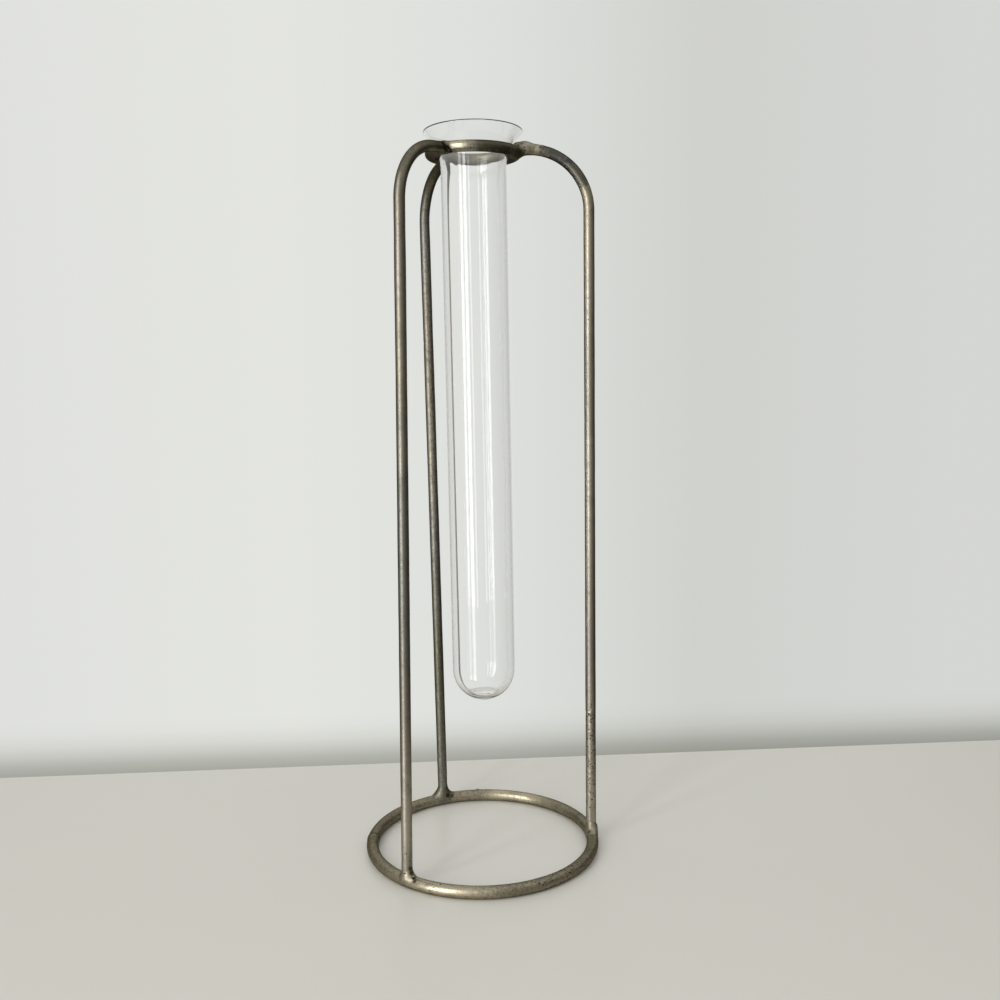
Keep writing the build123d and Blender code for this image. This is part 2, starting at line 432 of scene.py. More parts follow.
def turned(profile, sides, sway):
    """A surface turned round the Z axis from an outline of radius and height that ends on the axis."""
    turns = np.linspace(0, 2 * math.pi, sides, endpoint=False)
    spokes = np.stack([np.cos(turns), np.sin(turns), 0 * turns], 1)
    inner = profile[1:-1]
    rings = inner[:, :1, None] * spokes[None] + inner[:, 1:, None] * UP
    rings = rings + sway(rings)[..., None] * spokes[None]
    points = [np.array([0, 0, profile[0][1]]), *rings.reshape(-1, 3), np.array([0, 0, profile[-1][1]])]
    faces = []
    last = len(points) - 1
    for turn in range(sides):
        after = (turn + 1) % sides
        faces.append((0, 1 + after, 1 + turn))
        base = 1 + (len(inner) - 1) * sides
        faces.append((last, base + turn, base + after))
        for ring in range(len(inner) - 1):
            low, high = 1 + ring * sides, 1 + (ring + 1) * sides
            faces.append((low + turn, low + after, high + after, high + turn))
    return np.array(points), faces


def on_arc(centre, radius, angle):
    """The point of a circle in the radius and height plane, at an angle in radians."""
    return centre[0] + radius * math.cos(angle), centre[1] + radius * math.sin(angle)


def arc_points(centre, radius, start, stop, count):
    """Points along an arc in the radius and height plane, angles in radians."""
    return [on_arc(centre, radius, angle) for angle in np.linspace(start, stop, count)]


def tube_outline():
    """The glass tube's closed outline, from the outside of its bottom to the inside."""
    rim_radius = FLARE_RADIUS + RIM_WALL / 2
    turn = math.acos((rim_radius - LIP_OVERHANG) / rim_radius)
    round_centre = (0, TUBE_RADIUS - TUBE_DROP)
    flare_centre = (TUBE_RADIUS + FLARE_RADIUS, FLARE_START)
    bore = TUBE_RADIUS - TUBE_WALL
    quarter = math.pi / 2
    outline = arc_points(round_centre, TUBE_RADIUS, -quarter, 0, BOTTOM_STEPS)
    outline += [(TUBE_RADIUS, h) for h in np.linspace(round_centre[1], FLARE_START, WALL_STEPS)[1:-1]]
    outline += arc_points(flare_centre, FLARE_RADIUS, math.pi, math.pi - turn, FLARE_STEPS)
    tip = on_arc(flare_centre, rim_radius, math.pi - turn)
    outline += arc_points(tip, RIM_WALL / 2, -turn, math.pi - turn, RIM_STEPS)[1:-1]
    for share in np.linspace(1, 0, FLARE_STEPS):
        wall = RIM_WALL + (TUBE_WALL - RIM_WALL) * (1 - share) ** 2
        outline.append(on_arc(flare_centre, FLARE_RADIUS + wall, math.pi - share * turn))
    outline += [(bore, h) for h in np.linspace(FLARE_START, round_centre[1], WALL_STEPS)[1:-1]]
    depth = TUBE_RADIUS - BOTTOM_WALL
    for angle in np.linspace(0, quarter, BOTTOM_STEPS):
        across, down = math.cos(angle) ** (2 / BOTTOM_SQUARE), math.sin(angle) ** (2 / BOTTOM_SQUARE)
        dome = BOTTOM_DOME * (1 - smooth(bore * across, 0, BOTTOM_DOME_RADIUS))
        outline.append((bore * across, round_centre[1] - depth * down + dome))
    outline[0], outline[-1] = (0, outline[0][1]), (0, outline[-1][1])
    return np.array(outline)


def new_material(name):
    """A material with an empty node tree, and the tree."""
    made = bpy.data.materials.new(name)
    made.use_nodes = True
    made.node_tree.nodes.clear()
    return made, made.node_tree


def add(tree, kind, sockets=None, **settings):
    """A node with its settings and its sockets' values or links."""
    made = tree.nodes.new(kind)
    for key, value in settings.items():
        setattr(made, key, value)
    for key, value in (sockets or {}).items():
        if isinstance(value, bpy.types.NodeSocket):
            tree.links.new(value, made.inputs[key])
        else:
            made.inputs[key].default_value = value
    return made


def maths(tree, operation, one, two=0.0, three=0.0, clamp=False):
    """The result of a maths node on one to three numbers or sockets."""
    sockets = {0: one, 1: two, 2: three}
    return add(tree, "ShaderNodeMath", sockets, operation=operation, use_clamp=clamp).outputs[0]


def vector_maths(tree, operation, sockets, result=0):
    """The result of a vector maths node."""
    return add(tree, "ShaderNodeVectorMath", sockets, operation=operation).outputs[result]


def ranged(tree, value, low, high, to_low=0.0, to_high=1.0):
    """A value carried from one range to another, smoothly."""
    sockets = {"Value": value, "From Min": low, "From Max": high, "To Min": to_low, "To Max": to_high}
    return add(tree, "ShaderNodeMapRange", sockets, interpolation_type="SMOOTHSTEP").outputs["Result"]


def mixed(tree, share, one, two):
    """Two colours mixed by a share."""
    made = add(tree, "ShaderNodeMix", data_type="RGBA")
    for key, value in ((0, share), (6, one), (7, two)):
        if isinstance(value, bpy.types.NodeSocket):
            tree.links.new(value, made.inputs[key])
        else:
            made.inputs[key].default_value = value if key == 0 else (*value, 1.0)
    return made.outputs[2]


def ramp(tree, value, stops):
    """A colour ramp through stops of place and colour."""
    made = add(tree, "ShaderNodeValToRGB", {"Fac": value})
    elements = made.color_ramp.elements
    while len(elements) < len(stops):
        elements.new(0.5)
    for element, (place, colour) in zip(elements, stops):
        element.position = place
        element.color = (*colour, 1.0)
    return made.outputs["Color"]


def noise_of(tree, place, scale, detail=2.0, roughness=0.5):
    """A noise texture's value at a place."""
    sockets = {"Vector": place, "Scale": scale, "Detail": detail, "Roughness": roughness}
    return add(tree, "ShaderNodeTexNoise", sockets).outputs["Fac"]


# Tones of the metal
OLIVE = (0.150, 0.142, 0.105)
TAUPE = (0.275, 0.250, 0.212)
PEWTER = (0.300, 0.278, 0.231)
NICKEL = (0.375, 0.343, 0.290)
# A lighter gilt tone put where highlights fall: partly brass tone, partly painted highlight
GILT_HIGHLIGHT = (0.500, 0.445, 0.325)
GOLDEN = (0.345, 0.308, 0.228)
STEEL = (0.215, 0.215, 0.197)
SLATE = (0.055, 0.057, 0.058)
BRASS = (0.380, 0.345, 0.258)
PATINA = (0.085, 0.078, 0.055)
PIT = (0.022, 0.019, 0.013)
METAL_TINT = (0.25, 0.23, 0.20)

# The noises of the metal's finish: scale for each millimetre, detail and roughness
SLOW_NOISE = (0.13, 3.0, 0.6)
MOTTLE_NOISE = (0.60, 4.0, 0.6)
GRAIN_NOISE = (3.2, 3.0, 0.6)
STREAK_NOISE = (1.0, 4.0, 0.65)
STREAK_NOISE_UNMAPPED = (1.1, 2.0)
PATCHY_NOISE = (1.3, 5.0, 0.72)
SPREAD_NOISE = (0.45, 2.0)
PIT_CELLS = 1.1
# How far a seed moves the noise, and how streaks are drawn out: around and along the wire
SEED_SHIFT = (13.7, 7.3, 3.1)
STREAK_AROUND, STREAK_ALONG = 2.8, 0.09
# The height bands wander up and down by half of this
BAND_WANDER = 40.0
# The finish's layers: a noise, where the layer starts and is full, its share and its tone
LAYERS = [
    ("slow", 0.50, 0.36, 0.30, OLIVE), ("mottle", 0.46, 0.34, 0.25, PATINA),
    ("mottle", 0.55, 0.70, 0.20, BRASS), ("streak", 0.54, 0.68, 0.15, BRASS),
    ("streak", 0.44, 0.32, 0.18, PATINA), ("grain", 0.46, 0.32, 0.20, PATINA),
]
# Spots and polished zones start at their reach and are full within a share of it
SPOT_FULL, POLISH_FULL = 0.45, 0.4
# Wear: where the patchy noise turns dark or light, and the light patches' share
PATCHY_MIDDLE, PATCHY_DARK, PATCHY_LIGHT, PATCHY_LIGHT_SHARE = 0.54, 0.38, 0.70, 0.5
# Pits: their edge and bottom in the cells, how rare they are, and how much a pitted zone adds
PIT_EDGE, PIT_BOTTOM, PIT_RARE, PIT_ADDED = 0.36, 0.16, 0.80, 0.45
# Roughness from dull to shiny patches, and what wear, polish and pits change
MOTTLE_DULL, MOTTLE_SHINY = 0.30, 0.70
DULL_ROUGHNESS, SHINY_ROUGHNESS = 0.45, 0.37
WEAR_DULLS, POLISH_SHINES, PIT_DULLS = 0.10, 0.13, 0.3
# Bump: the grain's height, what wear adds to it, the streaks' height and the depth in all
GRAIN_BUMP, WEAR_BUMP, STREAK_BUMP, BUMP_DEPTH = 0.05, 0.25, 0.08, 0.05
METAL_BUMP_STRENGTH, GLASS_BUMP_STRENGTH = 0.5, 0.05


def distance_from(tree, place, centre):
    """The distance from a place to a centre."""
    return vector_maths(tree, "DISTANCE", {0: place, 1: centre}, "Value")


def streaks(tree, moved, with_map):
    """Noise that is drawn out along the wire where the piece has a map."""
    if not with_map:
        return noise_of(tree, moved, *STREAK_NOISE_UNMAPPED)
    flat = add(tree, "ShaderNodeUVMap", uv_map="wire").outputs["UV"]
    flat = add(tree, "ShaderNodeSeparateXYZ", {0: flat}).outputs
    turn = maths(tree, "MULTIPLY", flat["X"], 2 * math.pi)
    drawn = add(tree, "ShaderNodeCombineXYZ", {
        0: maths(tree, "MULTIPLY", maths(tree, "COSINE", turn), STREAK_AROUND),
        1: maths(tree, "MULTIPLY", maths(tree, "SINE", turn), STREAK_AROUND),
        2: maths(tree, "MULTIPLY", flat["Y"], STREAK_ALONG),
    }).outputs[0]
    return noise_of(tree, drawn, *STREAK_NOISE)


def dullness(tree, place, polished):
    """1 on the plain metal and 0 in the middle of polished zones."""
    dull = 1.0
    for centre, reach in polished:
        away = distance_from(tree, place, centre)
        dull = maths(tree, "MINIMUM", ranged(tree, away, POLISH_FULL * reach, reach), dull)
    return dull


def pit_holes(tree, place, moved, pitted):
    """1 in the small dark pits, which are rare outside the pitted zones."""
    sockets = {"Vector": moved, "Scale": PIT_CELLS, "Randomness": 1.0}
    cells = add(tree, "ShaderNodeTexVoronoi", sockets)
    hole = ranged(tree, cells.outputs["Distance"], PIT_EDGE, PIT_BOTTOM)
    pits = 0.0
    for centre, reach, density in pitted:
        away = distance_from(tree, place, centre)
        pits = maths(tree, "MAXIMUM", ranged(tree, away, reach, PITTED_FULL * reach, 0, density), pits)
    rare = maths(tree, "SUBTRACT", PIT_RARE, maths(tree, "MULTIPLY", pits, PIT_ADDED))
    spread = noise_of(tree, moved, *SPREAD_NOISE)
    return maths(tree, "MULTIPLY", hole, maths(tree, "GREATER_THAN", spread, rare))


def metal(name, seed, bands, spots=(), pitted=(), with_map=True, worn=0.0, polished=()):
    """Aged brass under worn nickel: bands by height, spots, some of them painted highlight and painted
    shade, rubbing along the wire, wear and pits.
    """
    made, tree = new_material(name)
    where = add(tree, "ShaderNodeTexCoord").outputs["Object"]
    place = vector_maths(tree, "SCALE", {0: where, "Scale": 1 / MM})
    moved = vector_maths(tree, "ADD", {0: place, 1: tuple(seed * shift for shift in SEED_SHIFT)})
    height = add(tree, "ShaderNodeSeparateXYZ", {0: place}).outputs["Z"]
    noises = {
        "slow": noise_of(tree, moved, *SLOW_NOISE),
        "mottle": noise_of(tree, moved, *MOTTLE_NOISE),
        "grain": noise_of(tree, moved, *GRAIN_NOISE),
        "streak": streaks(tree, moved, with_map),
    }
    wavy = maths(tree, "MULTIPLY", maths(tree, "SUBTRACT", noises["slow"], 0.5), BAND_WANDER)
    banded = maths(tree, "DIVIDE", maths(tree, "ADD", height, wavy), cad_high[2] / MM)
    colour = ramp(tree, banded, bands)
    wobble = maths(tree, "SUBTRACT", noises["mottle"], 0.5)
    for centre, reach, tone, share in spots:
        away = maths(tree, "MULTIPLY", wobble, reach)
        away = maths(tree, "ADD", distance_from(tree, place, centre), away)
        colour = mixed(tree, ranged(tree, away, reach, SPOT_FULL * reach, 0, share), colour, tone)
    for noise, low, high, share, tone in LAYERS:
        colour = mixed(tree, ranged(tree, noises[noise], low, high, 0, share), colour, tone)
    dull = dullness(tree, place, polished)
    wear = maths(tree, "MULTIPLY", dull, worn)
    patchy = noise_of(tree, moved, *PATCHY_NOISE)
    dark = maths(tree, "MULTIPLY", ranged(tree, patchy, PATCHY_MIDDLE, PATCHY_DARK), wear)
    colour = mixed(tree, dark, colour, PATINA)
    light = ranged(tree, patchy, PATCHY_MIDDLE, PATCHY_LIGHT, 0, PATCHY_LIGHT_SHARE)
    light = maths(tree, "MULTIPLY", light, wear)
    colour = mixed(tree, light, colour, GOLDEN)
    hole = pit_holes(tree, place, moved, pitted)
    colour = mixed(tree, hole, colour, PIT)
    patches = (MOTTLE_DULL, MOTTLE_SHINY, DULL_ROUGHNESS, SHINY_ROUGHNESS)
    roughness = ranged(tree, noises["mottle"], *patches)
    roughness = maths(tree, "MULTIPLY_ADD", wear, WEAR_DULLS, roughness)
    polish = maths(tree, "SUBTRACT", dull, 1.0)
    roughness = maths(tree, "MULTIPLY_ADD", polish, POLISH_SHINES, roughness)
    roughness = maths(tree, "ADD", roughness, maths(tree, "MULTIPLY", hole, PIT_DULLS), clamp=True)
    rise = maths(tree, "MULTIPLY_ADD", wear, WEAR_BUMP, GRAIN_BUMP)
    relief = maths(tree, "MULTIPLY", noises["streak"], STREAK_BUMP)
    relief = maths(tree, "MULTIPLY_ADD", noises["grain"], rise, relief)
    relief = maths(tree, "SUBTRACT", relief, hole)
    sockets = {"Height": relief, "Strength": METAL_BUMP_STRENGTH, "Distance": BUMP_DEPTH * MM}
    bump = add(tree, "ShaderNodeBump", sockets)
    shader = add(tree, "ShaderNodeBsdfPrincipled", {
        "Base Color": colour, "Metallic": 1.0, "Roughness": roughness, "Normal": bump.outputs[0],
        "Specular Tint": (*METAL_TINT, 1.0),
    })
    add(tree, "ShaderNodeOutputMaterial", {"Surface": shader.outputs[0]})
    return made


# Waves for each millimetre in the drawn glass
GLASS_WAVES_ACROSS, GLASS_WAVES_ALONG = 0.16, 0.012
GLASS_IOR = 1.49


def glass():
    """Clear glass with the faint waves of a drawn tube."""
    made, tree = new_material("clear_glass_drawn")
    where = add(tree, "ShaderNodeTexCoord").outputs["Object"]
    scale = (GLASS_WAVES_ACROSS / MM, GLASS_WAVES_ACROSS / MM, GLASS_WAVES_ALONG / MM)
    drawn = add(tree, "ShaderNodeMapping", {"Vector": where, "Scale": scale})
    waves = noise_of(tree, drawn.outputs[0], 1.0, 1.0)
    sockets = {"Height": waves, "Strength": GLASS_BUMP_STRENGTH, "Distance": BUMP_DEPTH * MM}
    bump = add(tree, "ShaderNodeBump", sockets)
    shader = add(tree, "ShaderNodeBsdfPrincipled", {
        "Base Color": (1.0, 1.0, 1.0, 1.0), "Roughness": 0.0, "IOR": GLASS_IOR,
        "Transmission Weight": 1.0, "Normal": bump.outputs[0],
    })
    add(tree, "ShaderNodeOutputMaterial", {"Surface": shader.outputs[0]})
    return made


def beside(point, offset):
    """A point moved by an offset."""
    return tuple(np.array(point) + np.array(offset))


# From here on, a spot is a place, its reach, tone and share. A pitted zone is a place, its
# reach and density, and a polished zone a place and its reach. A groove is a start, a stop,
# its size and depth, and a lump a place, its reach and rise.

# The open crevice where the collar's ends meet the front left leg, as offsets from that joint
CRACK = [(-1.7, -3.9, 1.5), (-0.3, -3.15, 0.3), (0.3, -2.6, -0.5), (1.1, -2.2, -1.6)]
CRACK_POINTS = [beside(leg_corners("front_left")[2], point) for point in CRACK]
COLLAR_CRACK = [(one, two, 0.42, 0.7) for one, two in zip(CRACK_POINTS[:-1], CRACK_POINTS[1:])]
# Painted shade: dark spots along the crevice, where shade falls in it
CRACK_SHADE_SPOTS = [(point, reach, PIT, 1.0) for point, reach in zip(CRACK_POINTS, (1.0, 1.5, 1.8, 1.4))]
# The row of pits down the right of the front left leg's foot
FOOT_CRACK = [(1.2, -1.2, 4.3), (1.5, -1.4, 2.9), (2.1, -2.4, 1.95), (2.45, -3.6, 1.5)]
FOOT_SPOTS = [(beside(leg_corners("front_left")[0], point), 0.9, PIT, 0.9) for point in FOOT_CRACK]
RING_PITS = [((26, -24, 2), 22, 0.8), ((-14, -34, 3), 6, 0.6), ((-30, 20, 2), 14, 0.3)]
RING_LUMP = ((-1.7, 37.0, 3.6), 0.55, 0.35)
COLLAR_PITS = [((-4, -12, 220), 8, 0.4)]
WELD_PITS = [((-36, 1, 2), 4, 0.3)]

LEG_FINISHES = {
    "front_left": dict(seed=3, relief_seed=60, bands=[
        (0.0, NICKEL), (0.10, NICKEL), (0.22, TAUPE), (0.36, STEEL), (0.50, STEEL), (0.68, PEWTER),
        (0.86, TAUPE), (0.94, OLIVE), (1.0, OLIVE),
    ], spots=[((-10.5, -11.5, 221.0), 5.0, PATINA, 0.6)], cracks=CRACK_SHADE_SPOTS + FOOT_SPOTS),
    "back_left": dict(seed=4, relief_seed=70, worn=0.5, bands=[
        (0.0, STEEL), (0.2, OLIVE), (0.40, STEEL), (0.55, PEWTER), (0.75, TAUPE), (0.88, STEEL),
        (0.96, OLIVE), (1.0, PATINA),
    ]),
    "right": dict(seed=5, relief_seed=80, bands=[
        (0.0, NICKEL), (0.1, NICKEL), (0.3, TAUPE), (0.5, NICKEL), (0.8, NICKEL), (0.92, BRASS),
        (1.0, PEWTER),
    ], spots=[
        ((20.5, -0.5, 222.0), 4.0, BRASS, 0.8),
        ((25.5, -1.0, 220.5), 7.5, SLATE, 0.9),
        ((31.5, -1.0, 215.5), 8.0, SLATE, 0.8),
    ]),
}
LEG_PITS = {
    "front_left": [((-21, -28, 8), 7, 0.6)],
    "back_left": [((-15, 33, 165), 14, 0.6), ((-14, 33, 110), 16, 0.4)],
    "right": [((38, 0, 28), 28, 1.0), ((21, 0, 222), 3.5, 0.9), ((35, 0, 172), 8, 0.4)],
}


def make_rings():
    """The base ring, open at the far left, and the collar, open at the front left leg."""
    base_finish = metal("aged_base_ring", seed=1, bands=[(0.0, GOLDEN), (1.0, GOLDEN)], spots=[
        # Painted highlight, partly brass tone: the gilt spots lighten the ring where its highlights
        # fall at the front and the back
        ((-12.0, -34.0, 2.0), 17.0, GILT_HIGHLIGHT, 0.5),
        ((10.0, 35.0, 2.0), 14.0, GILT_HIGHLIGHT, 0.6),
        ((28.0, -20.0, 2.0), 20.0, OLIVE, 0.35),
        ((14.0, -33.0, 2.0), 12.0, OLIVE, 0.35),
        ((31.0, 18.0, 2.0), 14.0, OLIVE, 0.25),
        # Painted highlight, partly brass tone: lighter brass where the right foot's joint shows its
        # highlight
        ((36.0, -1.5, 3.0), 5.0, BRASS, 0.9),
        ((-34.0, 6.0, 2.0), 22.0, OLIVE, 0.25),
        *FOOT_SPOTS,
    ], pitted=RING_PITS, worn=0.6, polished=[((-14.0, -33.0, 2.0), 18.0), ((14.0, 33.0, 2.0), 16.0)])
    centre = BASE_MID_HEIGHT * UP
    line = ring_line(centre, BASE_MID_RADIUS, BASE_BUTT_ANGLE, BASE_BUTT_GAP, WIRE_STEP)
    relief = make_relief(seed=11, pitted=RING_PITS, lumps=[RING_LUMP], grain=RING_GRAIN_RISE)
    wire_piece("base_ring_wire", "base_ring", line, UP, BASE_WIRE, relief, base_finish)
    collar_finish = metal("aged_collar", seed=2, bands=[(0.0, PEWTER), (1.0, PEWTER)], spots=[
        # Painted highlight, partly brass tone: the gilt spot lightens the collar's front where its
        # highlight falls
        ((-5.0, -11.5, 221.5), 4.5, GILT_HIGHLIGHT, 1.0),
        ((3.0, 14.0, 220.0), 6.0, BRASS, 0.8),
        ((6.0, -11.0, 220.0), 8.5, PATINA, 0.95),
        # Painted shade, partly patina: the collar's left end is darker underneath
        ((-12.5, 1.0, 218.5), 8.0, PATINA, 0.6),
        ((12.0, 1.0, 219.0), 8.0, OLIVE, 0.9),
        *CRACK_SHADE_SPOTS,
    ], pitted=COLLAR_PITS, worn=0.4, polished=[((-3.0, -11.5, 221.0), 6.0)])
    opening = LEGS["front_left"]["end"]
    line = ring_line(COLLAR_CENTRE, COLLAR_MID_RADIUS, opening, COLLAR_GAP, COLLAR_STEP)
    relief = make_relief(seed=21, pitted=COLLAR_PITS, grooves=COLLAR_CRACK)
    wire_piece("collar_ring_wire", "collar_ring", line, UP, COLLAR_WIRE, relief, collar_finish)


def make_legs():
    """The three legs, each ending inside the rings' wires."""
    for name in LEGS:
        foot, corner, end = leg_corners(name)
        look = LEG_FINISHES[name]
        spots = look.get("spots", []) + look.get("cracks", [])
        worn = look.get("worn", 0.0)
        finish = metal(f"aged_leg_{name}", look["seed"], look["bands"], spots,
                       pitted=LEG_PITS[name], worn=worn)
        at_opening = name == "front_left"
        line = leg_line(name, WIRE_STEP, stop_short=COLLAR_LEG_SHORT if at_opening else 0.0)
        side = unit(np.cross(foot - corner, end - corner))
        grooves = COLLAR_CRACK if at_opening else []
        relief = make_relief(look["relief_seed"], pitted=LEG_PITS[name], grooves=grooves,
                             grain=GRAIN_RISE + WORN_GRAIN_RISE * worn)
        wire_piece(f"leg_{name}_wire", f"leg_{name}", line, side, LEG_WIRE, relief, finish)


BASE_RING = dict(centre=BASE_MID_HEIGHT * UP, radius=BASE_MID_RADIUS, wire=BASE_WIRE)
COLLAR_RING = dict(centre=COLLAR_CENTRE, radius=COLLAR_MID_RADIUS, wire=COLLAR_WIRE)
BRAZE_PITS = [
    ((-21, -28, 6), 5, 0.8), ((-14, 33, 4), 6, 0.6), ((36, 2, 4), 5, 0.5), ((13, 1, 221), 6, 0.8),
]

# Each braze: how far it spreads along the ring to both sides, how far it climbs the leg, its
# width, its fillet to both sides, how proud it stands, its seed, its lumps as place, radius
# and blend, and its cracks as points and radius. Sides are clockwise and then anticlockwise
# from above, and places are from the joint.
FOOT_FORMS = {
    "front_left": dict(spread=(2.3, 4.4), climb=5.0, width=2.8, fillet=(1.6, 2.4), proud=0.02, seed=71,
                       lumps=[], cracks=[(FOOT_CRACK, 0.32)]),
    "back_left": dict(spread=(4.6, 3.8), climb=5.8, width=2.8, fillet=(3.6, 4.2), proud=0.03, seed=72,
                      lumps=[((3.1, -1.2, 1.6), 0.5, 0.6)],
                      cracks=[([(1.4, -2.6, 2.4), (2.3, -2.0, 1.7)], 0.45)]),
    "right": dict(spread=(5.0, 3.2), climb=4.4, width=2.8, fillet=(4.4, 2.6), proud=0.02, seed=73,
                  lumps=[((1.1, -0.6, 1.5), 0.9, 1.8)],
                  cracks=[([(-0.6, -3.1, 1.6), (-1.0, -3.0, 0.3)], 0.35)]),
}
COLLAR_FORMS = {
    "front_left": dict(spread=(3.0, 3.2), climb=4.6, width=2.7, fillet=(1.6, 1.2), proud=0.03, seed=81,
                       lumps=[], cracks=[(CRACK, 0.52)]),
    "back_left": dict(spread=(3.0, 3.0), climb=4.0, width=2.6, fillet=(2.0, 2.0), proud=0.03, seed=82,
                      lumps=[], cracks=[]),
    "right": dict(spread=(2.8, 3.2), climb=5.6, width=2.8, fillet=(1.4, 1.8), proud=0.18, seed=83,
                  lumps=[((2.4, -0.3, 0.6), 0.9, 2.2)], cracks=[]),
}


def make_brazes():
    """The seven deposits of filler metal."""
    finish = metal("aged_braze", seed=6, bands=[(0.0, PEWTER), (1.0, PEWTER)], spots=[
        ((-14.0, 33.0, 6.0), 7.0, PATINA, 0.5),
        ((-10.5, -11.5, 221.0), 4.5, PATINA, 0.6),
        ((13.0, -1.5, 220.5), 3.0, OLIVE, 0.6),
        ((18.0, -0.5, 222.0), 4.5, BRASS, 0.8),
        ((-22.0, -28.0, 5.0), 7.0, BRASS, 0.7),
        # Painted highlight, partly brass tone: lighter brass on the right foot's filler, where its
        # highlight falls
        ((36.0, 0.5, 3.5), 4.5, BRASS, 0.8),
        # Painted shade: dark spots in the crevices at the three feet
        ((-11.8, 31.0, 4.0), 1.6, PIT, 0.9),
        ((-20.8, -29.2, 5.6), 1.3, PIT, 0.7),
        ((35.2, -0.8, 3.7), 1.0, PIT, 0.9),
        ((-36.0, 1.3, 2.0), 3.0, OLIVE, 0.9),
        *CRACK_SHADE_SPOTS,
        *FOOT_SPOTS,
    ], pitted=BRAZE_PITS, with_map=False, worn=0.3)
    for name in LEGS:
        points, heading = leg_line(name, LINE_STEP)
        foot, _, end = leg_corners(name)
        ring = dict(BASE_RING, spoke=level(LEGS[name]["foot"]))
        braze_piece(f"foot_braze_{name}_bead", f"foot_braze_{name}", foot, heading[0],
                    points[:FOOT_LINE_LENGTH], ring, FOOT_FORMS[name], finish)
        ring = dict(COLLAR_RING, spoke=level(LEGS[name]["end"]))
        braze_piece(f"collar_braze_{name}_bead", f"collar_braze_{name}", end, -heading[-1],
                    points[-COLLAR_LINE_LENGTH:], ring, COLLAR_FORMS[name], finish)
    line = ring_line(BASE_MID_HEIGHT * UP, BASE_MID_RADIUS, BASE_BUTT_ANGLE + 180,
                     2 * math.pi * BASE_MID_RADIUS - WELD_LENGTH, WELD_STEP)
    relief = make_relief(seed=91, pitted=WELD_PITS)
    points, faces, _ = wire_surface(*line, UP, BASE_WIRE + 2 * WELD_PROUD, relief)
    new_piece("base_ring_weld_bead", points, faces, "stand", "base_ring_weld", finish)


def make_tube():
    """The glass tube, which hangs in the collar by its lip and leans a little."""
    def sway(rings):
        drawn = rings * np.array([1, 1, TUBE_WAVE_STRETCH])
        return TUBE_WAVE * rough(drawn, TUBE_WAVE_SIZE, TUBE_WAVE_SEED)

    outline = tube_outline()
    points, faces = turned(outline, TUBE_SIDES, sway)
    flare = smooth(points[:, 2], FLARE_START, outline[:, 1].max())
    points[:, 2] -= RIM_DIP * points[:, 1] * flare
    lean = math.radians(TUBE_LEAN)
    axis = np.array([-math.sin(lean), 0, math.cos(lean)])
    side = np.array([math.cos(lean), 0, math.sin(lean)])
    turn = np.stack([side, np.cross(axis, side), axis])
    new_piece("test_tube_glass", points @ turn + COLLAR_CENTRE, faces, "tube", "test_tube",
              glass())


# Stage: the table, the wall tone behind it and the light
TABLE_TONE = (0.665, 0.655, 0.605)
TABLE_ROUGHNESS, TABLE_IOR = 0.32, 1.45
FLOOR_REACH, FLOOR_DROP = 4.0, 0.02
# The wall's tones from left to right: at 0 a direction points this far aside for each metre ahead
WALL_LEFT_END = -0.45
LEAST_AHEAD = 0.01
# Painted shadow: the tones dip at 0.66, where the vase's soft shadow falls on the wall; they are
# lightest a little left of the middle
WALL_TONES_WITH_SHADOW = [
    (0.0, (0.745, 0.753, 0.730)), (0.27, (0.776, 0.785, 0.750)), (0.47, (0.730, 0.742, 0.718)),
    (0.66, (0.631, 0.640, 0.612)), (0.90, (0.665, 0.674, 0.653)),
]
TABLE_EDGE = 75.4
TABLE_EDGE_SLOPE = 0.0566
# Painted shade: the wall darkens towards its foot behind the table: the zone's depth and the share of
# light
WALL_FOOT_SHADE_DEPTH = 64.0
WALL_FOOT_SHADE_TONES = [
    (0.0, (0.50, 0.50, 0.465)), (0.16, (0.60, 0.60, 0.565)), (0.32, (0.75, 0.75, 0.72)),
    (0.50, (0.88, 0.88, 0.86)), (0.74, (0.97, 0.97, 0.96)), (1.0, (1.0, 1.0, 1.0)),
]
# The table ends in front: further out than this, reflections see the windows below its level
TABLE_MIRRORED, TABLE_OPEN = 0.06, 0.12
CAMERA_PLACE = (0.0, -334.39, 157.19)
# The wall's tones on the floor behind the table fan out from this place
WALL_FAN = (0.0, -334.0, 0.0)
CAMERA_PITCH, CAMERA_YAW, CAMERA_ROLL = 7.32156, 1.15071, -0.55809
CAMERA_LENS = 38.416
CAMERA_SENSOR = 36.0


def either(tree, share, one, two):
    """A shader that is one at a share of 0 and the other at 1."""
    return add(tree, "ShaderNodeMixShader", {0: share, 1: one.outputs[0], 2: two.outputs[0]})


def shows_background(tree):
    """1 for a ray that shows the background: from the camera or through glass."""
    path = add(tree, "ShaderNodeLightPath").outputs
    return maths(tree, "MAXIMUM", path["Is Camera Ray"], path["Is Transmission Ray"])


def wall_tone_with_shadow(tree, direction):
    """The wall's tone in a direction, by how far it points aside, with a painted soft shadow of the
    vase.
    """
    parts = add(tree, "ShaderNodeSeparateXYZ", {0: direction}).outputs
    ahead = maths(tree, "MAXIMUM", parts["Y"], LEAST_AHEAD)
    aside = maths(tree, "DIVIDE", parts["X"], ahead)
    return ramp(tree, maths(tree, "SUBTRACT", aside, WALL_LEFT_END, clamp=True), WALL_TONES_WITH_SHADOW)


